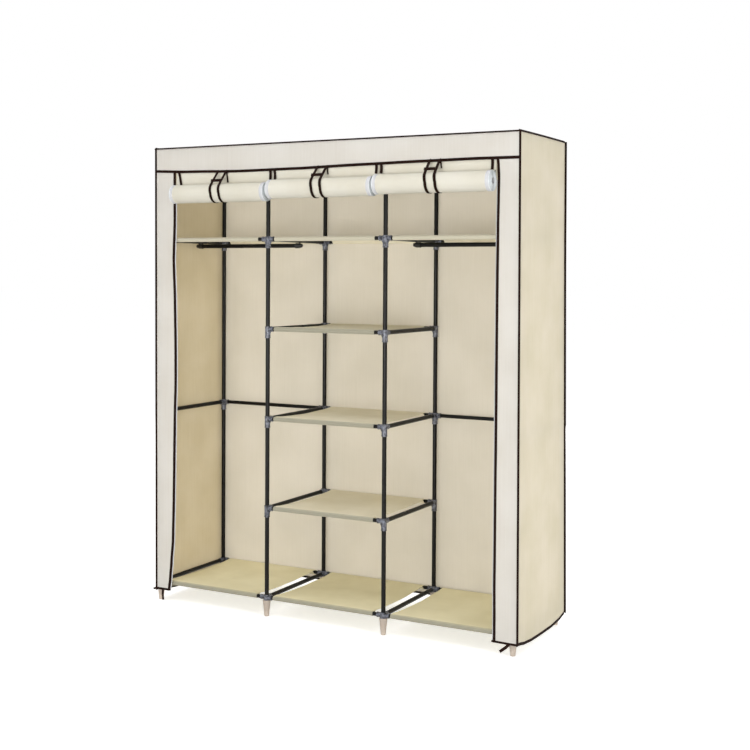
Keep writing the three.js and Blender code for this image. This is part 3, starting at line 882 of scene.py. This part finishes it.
# Each binding: its line, the way its face looks, its width in mm and the panel it is sewn to
low = hem_height
top = cover_top
rear_low = 38
front = (0, -1, 0)  # the way that the cover's front faces
BINDINGS = {
    "header_hem": (header_hem, front, 10.3, "header"),
    "front_top_edge": (box_edge((-1, 0, top), (1, 0, top), 60, (0, 0, -1.6)), (0, -1, 1), 7.5, "header"),
    "rear_top_edge": (box_edge((-1, 1, top), (1, 1, top), 60), (0, 1, 1), 9.5, "top"),
    "left_top_edge": (box_edge((-1, 0, top), (-1, 1, top), 20), (-1, 0, 1), 9.5, "top"),
    "right_top_edge": (box_edge((1, 0, top), (1, 1, top), 20), (1, 0, 0.6), 8.5, "top"),
    "left_front_edge": (box_edge((-1, 0, low), (-1, 0, top), 60, (3.6, -0.3, 0)), front, 9.2, "flap_left"),
    "right_front_edge": (box_edge((1, 0, low), (1, 0, top), 60, (2, 1.3, 0)), (1, -1, 0), 8, "flap_right"),
    "left_rear_edge": (box_edge((-1, 1, rear_low), (-1, 1, top), 60), (-1, 1, 0), 9.5, "back"),
    "right_rear_edge": (box_edge((1, 1, rear_low), (1, 1, top), 60, (4, 0, 0)), (0.35, 1, 0), 9.5, "back"),
    "left_side_hem": ([(-half_width, y, z) for y, z in side_hem], (-1, 0, 0), 10.4, "side_left"),
    "right_side_hem": ([(half_width, y, z) for y, z in side_hem], (1, 0, 0), 10.4, "side_right"),
    "back_hem": (box_edge((-1, 1, 40), (1, 1, 40), 60), (0, 1, 0), 9.5, "back"),
    "left_flap_edge": (flap_lines[-1], front, 11.5, "flap_left"),
    "right_flap_edge": (flap_lines[1], front, 9.8, "flap_right"),
    "left_flap_hem": (flap_hem(-1, low + 3), front, 9.0, "flap_left"),
    "right_flap_hem": (flap_hem(1, low), front, 7.5, "flap_right"),
}
trims = {name: [] for name in panels}
for name, (line, facing, width, panel) in BINDINGS.items():
    form = bmesh.new()
    ribbon(form, hung(line), facing, width, welt)
    trims[panel].append(piece(form, f"binding_{name}", tape_cloth, crease=50))

# The curtains: the same cloth, cut to close the front. Each is rolled up outwards from its hem to
# just under the header, so a short flat stretch shows above a roll of ten turns.
curtain_fleece = nonwoven("cream_nonwoven_curtain_cloth", "ECE9DE", "E6E2D4", emboss=0.7, streak=0.15)
roll_radius = 36.0
roll_core = 12.0
curtain_cloth = 0.8
wound_radius = roll_radius - curtain_cloth / 2  # to the middle of the outermost cloth
roll_y = -223.65
flat_top = 1672
tuck_start, tuck_height, tuck_depth = 1640, 14, 2.4  # where the flat stretch goes in under the header
# Each curtain: its left and right edges, its roll's two ends, its roll's height and the length of
# cloth that is wound up
CURTAINS = {
    "left": (-654.1, -226.0, (-636.5, -213.5), 1570, 1524),
    "centre": (-224.0, 224.0, (-206.5, 226.0), 1578, 1532),
    "right": (226.0, 665.8, (229.5, 671.0), 1583, 1537),
}
zip_width = 14.0
zip_overlap = 2  # of the cloth under it
wound_out = 4.0
squares_per_turn = 36
windings = {}


def wound_ends(ends, turned, turns):
    """Where a winding's two side edges lie. The inner windings have crept out to the right."""
    crept = wound_out * turned / turns
    wavy = 0.8 * math.sin(turned * 1.9 + 0.5)
    return ends[0] + 1 + wavy + crept * 0.4, ends[1] - wound_out + crept + wavy


def wound_at(axis_z, turned, pitch, x, lift=0.0):
    """Y and Z on the roll after that many turns in from its outside, raised by lift."""
    soft = abs(wander(x, turned * 3, axis_z, 70, 0.7)) * min(1, turned * 2)
    radius = wound_radius - pitch * turned - soft + lift
    t = -2 * math.pi * turned
    return roll_y + radius * math.cos(t), axis_z + radius * math.sin(t)


for name, (left, right, roll_ends, axis_z, wound) in CURTAINS.items():
    body = f"curtain_{name}"

    def flat_surface(i, j, left=left, right=right, axis_z=axis_z):
        x = left + (right - left) * i
        z = axis_z + (flat_top - axis_z) * j
        behind = max(0, min(1, (z - tuck_start) / tuck_height))
        y = roll_y + wound_radius + behind * tuck_depth
        wave = wander(x, 0, 3, 90, 1.6) * math.sin(math.pi * min(1, j * 1.4))
        # Its left edge lies back, behind the end of the roll beside it
        y += 3.0 * (1 - behind) * max(0, min(1, (left + 20 - x) / 8))
        return x, y - abs(wave) * (1 - behind), z

    form = bmesh.new()
    cloth(form, flat_surface, 44, 18, curtain_cloth)
    made = piece(form, f"curtain_flat_{name}", curtain_fleece, None, crease=60)
    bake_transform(made)
    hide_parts(f"curtain_sheet_{name}")

    pitch = math.pi * (wound_radius**2 - roll_core**2) / wound
    turns = (wound_radius - roll_core) / pitch
    count = int(turns * squares_per_turn)
    windings[name] = (turns, pitch, count)

    def roll_surface(i, j, ends=roll_ends, axis_z=axis_z, turns=turns, pitch=pitch):
        low, high = wound_ends(ends, turns * j, turns)
        x = low + zip_width - zip_overlap + (high - low - 2 * zip_width + 2 * zip_overlap) * i
        y, z = wound_at(axis_z, turns * j, pitch, x)
        return x, y, z

    form = bmesh.new()
    cloth(form, roll_surface, 14, count, curtain_cloth)
    stands_for = [f"curtain_roll_{name}"]
    made = piece(
        form, f"curtain_wound_{name}", curtain_fleece, body, stands_for, crease=60
    )

# The ties: two dark tapes sewn to the header's hem that go down round each roll and up behind it,
# with a short tape across them, which keeps them apart and goes down with the roll, and a loose end
# that shows beside them.
tape_thick = 1.2
tie_width = 11
tie_slant = 15.0
strand_offset = 18.5
strand_lift = 0.9  # of a tape's middle above the roll
header_stand = 2.4  # of the tapes in front of the cover
TIE_MIDDLES = {"left": -439.0, "centre": -5.0, "right": 441.0}
LOOSE_ENDS = {"left": 43, "centre": 29, "right": 29}
for name, (*_, axis_z, _) in CURTAINS.items():
    body = f"curtain_{name}"
    middle = TIE_MIDDLES[name]
    form = bmesh.new()
    around = roll_radius + strand_lift
    hem = blend_between(HEADER_HEM, middle)
    start_y = front_y - header_stand
    away = math.hypot(start_y - roll_y, hem - axis_z)
    touch = math.atan2(hem - axis_z, start_y - roll_y) + math.acos(around / away)
    line = [Vector((0, start_y, hem + 1)), Vector((0, start_y, hem))]
    first = Vector((0, roll_y + around * math.cos(touch), axis_z + around * math.sin(touch)))
    line += [line[1].lerp(first, i / 6) for i in range(1, 6)]
    out = [Vector((0, -1, 0))] * 2 + [Vector((0, math.cos(touch), math.sin(touch)))] * 5
    for i in range(31):
        t = touch + (2 * math.pi - touch) * i / 30
        line.append(Vector((0, roll_y + around * math.cos(t), axis_z + around * math.sin(t))))
        out.append(Vector((0, math.cos(t), math.sin(t))))
    slants = [tie_slant * min(1, i / 14) for i in range(len(line))]
    for strand in (-strand_offset, strand_offset):
        path = [p + Vector((middle + strand + slant, 0, 0)) for p, slant in zip(line, slants)]
        ribbon(form, path, out, tie_width, tape_thick)
    made = piece(form, f"tie_tapes_{name}", tape_cloth, None, crease=50)
    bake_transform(made)
    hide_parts(f"curtain_tie_{name}")
    form = bmesh.new()
    across = [middle + slants[5] + s for s in (-27, -9, 8, 22)]
    bar = [Vector((x, line[5].y, line[5].z)) + out[5] * tape_thick for x in across]
    ribbon(form, bar, (0, -1, 0.25), tie_width, tape_thick)
    piece(form, f"tie_cross_tape_{name}", tape_cloth, body, crease=50)
    form = bmesh.new()
    end = Vector((middle + 23, start_y - header_stand, hem - 1))
    loose = [end + Vector((0.16, -0.05, -1)) * LOOSE_ENDS[name] * i / 4 for i in range(5)]
    ribbon(form, loose, [(0.15 * i, -1, 0) for i in range(5)], tie_width / 2, tape_thick)
    piece(form, f"tie_loose_end_{name}", tape_cloth, crease=50)

# The loose tapes: short ends of the same binding tape, sewn to the header's hem for tying the
# curtains at their sides, and at the flaps' lower corners for tying the cover to the feet.
hem_y = front_y - 2.6
loose_thick = 1.3
# Each tape: X and Z of its upper and of its lower end
LOOSE_TAPES = {
    "left_side": [((-639.1, 1660), (-624.2, 1595))],
    "left_seam": [((-224.5, 1656), (-222.6, 1613)), ((-206.7, 1656), (-201.8, 1613))],
    "right_seam": [((216.0, 1659), (216.3, 1622.5)), ((235.0, 1659), (235.7, 1622.5))],
    "right_side": [((652.8, 1662), (653.7, 1621.7))],
}
for name, pair in LOOSE_TAPES.items():
    form = bmesh.new()
    for (x, z), (end_x, end_z) in pair:
        line = []
        for i in range(9):
            t = i / 8
            bow = 1.2 * math.sin(math.pi * t)
            line.append((x + (end_x - x) * t + bow, hem_y - 0.6 - 2.4 * t * t, z + (end_z - z) * t))
        ribbon(form, line, front, 10.5, loose_thick)
    piece(form, f"loose_tapes_{name}", tape_cloth, crease=50)

# Each tape at a flap's lower outer corner: its width, and its points from that corner
FOOT_TAPES = {
    "left": [
        (10, [(36, -3, 0), (37, -5, -18), (40, -5, -38)]),
        (8, [(2, -2, 2), (-5, -3, 1), (-9, -3, -1)]),
    ],
    "right": [
        (10.5, [(-26, -3, -1), (-38, -7, -13), (-56, -10, -27)]),
        (8, [(-76, -3, 2), (-82, -3, 2), (-89, -3, 3)]),
    ],
}
for side, tapes in FOOT_TAPES.items():
    way = -1 if side == "left" else 1
    corner = Vector(leaning(way * half_width, front_y, hem_height))
    form = bmesh.new()
    for width, points in tapes:
        ribbon(form, [corner + Vector(p) for p in points], front, width, loose_thick)
    piece(form, f"loose_tapes_{side}_foot", tape_cloth, crease=50)

# The zips: white woven tape with a moulded coil along its edge, sewn to the flaps and to both sides
# of each curtain, so that it winds up with the rolls and shows as a white band at their ends.
# Woven polyester, white and matt. Its threads are 0.4 mm apart, and are drawn at 1.2 mm.
zip_tape = mottled(
    "white_zip_tape",
    "BEBEC1",
    "C8C8CA",
    (1.2, 1.0, 0.0),
    (1.2, 1.0, 0.15, 0.5),
    {"Roughness": 0.75, "IOR": 1.5},
)
# The coil is clear moulded nylon, which looks grey blue between its turns
zip_coil = mottled(
    "nylon_zip_coil",
    "C4C9CC",
    "E8ECED",
    (1.6, 0.0, 0.0),
    (1.6, 0.0, 0.3, 0.7),
    {"Roughness": 0.4, "IOR": 1.53},
)
zip_cloth = 0.8
zip_lift = 0.2  # of the tape and its coil above the cloth they are sewn to
coil_inset = 1.0
zip_top = 1600
zip_beside = {"left": 6.2, "right": -4.4}  # from the line of the flap's edge
coil_width, coil_thick = 2.6, 1.5
flap_zip_width, flap_zip_thick = 7, 0.9

for name, (*_, roll_ends, axis_z, _) in CURTAINS.items():
    turns, pitch, count = windings[name]
    for end, way in (("left", 1), ("right", -1)):

        def band_surface(i, j, ends=roll_ends, axis_z=axis_z, turns=turns, pitch=pitch, way=way):
            side_edge = wound_ends(ends, turns * j, turns)[0 if way > 0 else 1]
            x = side_edge + way * zip_width * i
            y, z = wound_at(axis_z, turns * j, pitch, x, zip_lift)
            return x, y, z

        form = bmesh.new()
        cloth(form, band_surface, 4, count, zip_cloth)
        piece(form, f"zip_tape_{name}_{end}", zip_tape, f"curtain_{name}", crease=60)
        coils = bmesh.new()
        line = []
        out = []
        for i in range(count + 1):
            turned = turns * i / count
            x = wound_ends(roll_ends, turned, turns)[0 if way > 0 else 1] + way * coil_inset
            line.append((x, *wound_at(axis_z, turned, pitch, x, zip_lift)))
            t = -2 * math.pi * turned
            out.append(Vector((0, math.cos(t), math.sin(t))))
        ribbon(coils, line, out, coil_width, coil_thick)
        piece(coils, f"zip_coil_{name}_{end}", zip_coil, f"curtain_{name}", crease=50)

for way, side in ((-1, "left"), (1, "right")):
    form = bmesh.new()
    line = hung([p for p in flap_lines[way] if p[2] < zip_top], (zip_beside[side], 1.6, 0))
    ribbon(form, line, front, flap_zip_width, flap_zip_thick)
    piece(form, f"zip_tape_flap_{side}", zip_tape, crease=50)

# The slider: a small casting of bare zinc, grey and half bright, at the top of the right curtain's
# zip, with its pull turned up. It is seen end on beside the roll.
zinc = mottled(
    "zinc_zip_slider", "5E605F", "8C8F8E", (2, 2.0, 0.0), None, {"Metallic": 1.0, "Roughness": 0.4}
)
form = bmesh.new()
ribbon(form, [(661.6, -193.4, 1606.5), (661.6, -193.4, 1615.5)], front, 6.5, 3.0)
ribbon(form, [(664.0, -196.0, 1610.5), (666.4, -196.6, 1619.5)], front, 4.0, 1.2)
piece(form, "zip_slider_right", zinc, crease=50)
